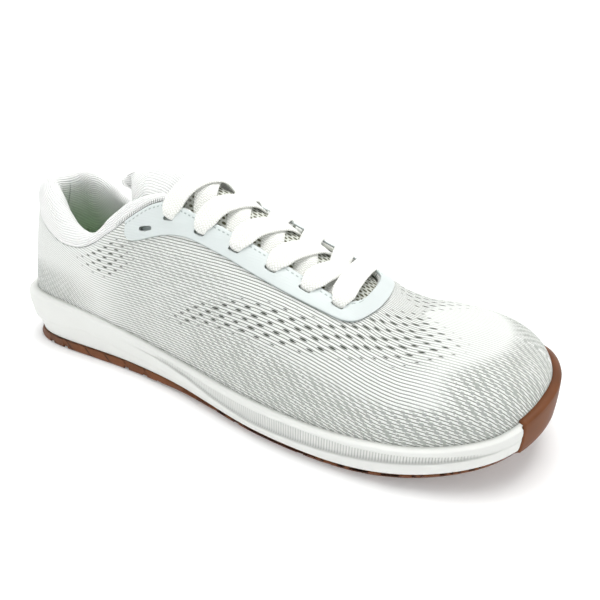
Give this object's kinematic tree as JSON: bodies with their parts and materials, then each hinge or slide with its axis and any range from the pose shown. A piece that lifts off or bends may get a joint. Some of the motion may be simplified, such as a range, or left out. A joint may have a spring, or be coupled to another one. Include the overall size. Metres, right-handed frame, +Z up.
{
  "type": "barefoot shoe",
  "caption": "Low-cut knitted running shoe for the right foot, with a wide toe, thin flat sole, padded collar and tongue, and crossed flat laces.",
  "frame": {"origin": "middle of the heel's flat spot, on the ground", "axes": "+X from heel to toe, +Y to the big toe's side, +Z up"},
  "size_m": [0.2884, 0.1056, 0.1015],
  "materials": {
    "upper": "knitted mesh, off-white with grey-green threads",
    "eyestay": "smooth welded film, mint grey",
    "collar": "ribbed knit over padding",
    "tongue": "padded mesh and ribbed knit",
    "insole": "brushed textile over foam, green tint",
    "midsole": "matt white moulded foam",
    "outsole": "matt gum-brown rubber",
    "lace": "flat woven white lace"
  },
  "bodies": {
    "root": {"upper": "upper", "eyestay": "eyestay", "collar": "collar", "tongue": "tongue", "insole": "insole", "midsole": "midsole", "outsole": "outsole", "lace_bar": "lace", "lace_cross_1": "lace", "lace_cross_2": "lace", "lace_cross_3": "lace", "lace_cross_4": "lace", "lace_cross_5": "lace"}
  },
  "joints": []
}
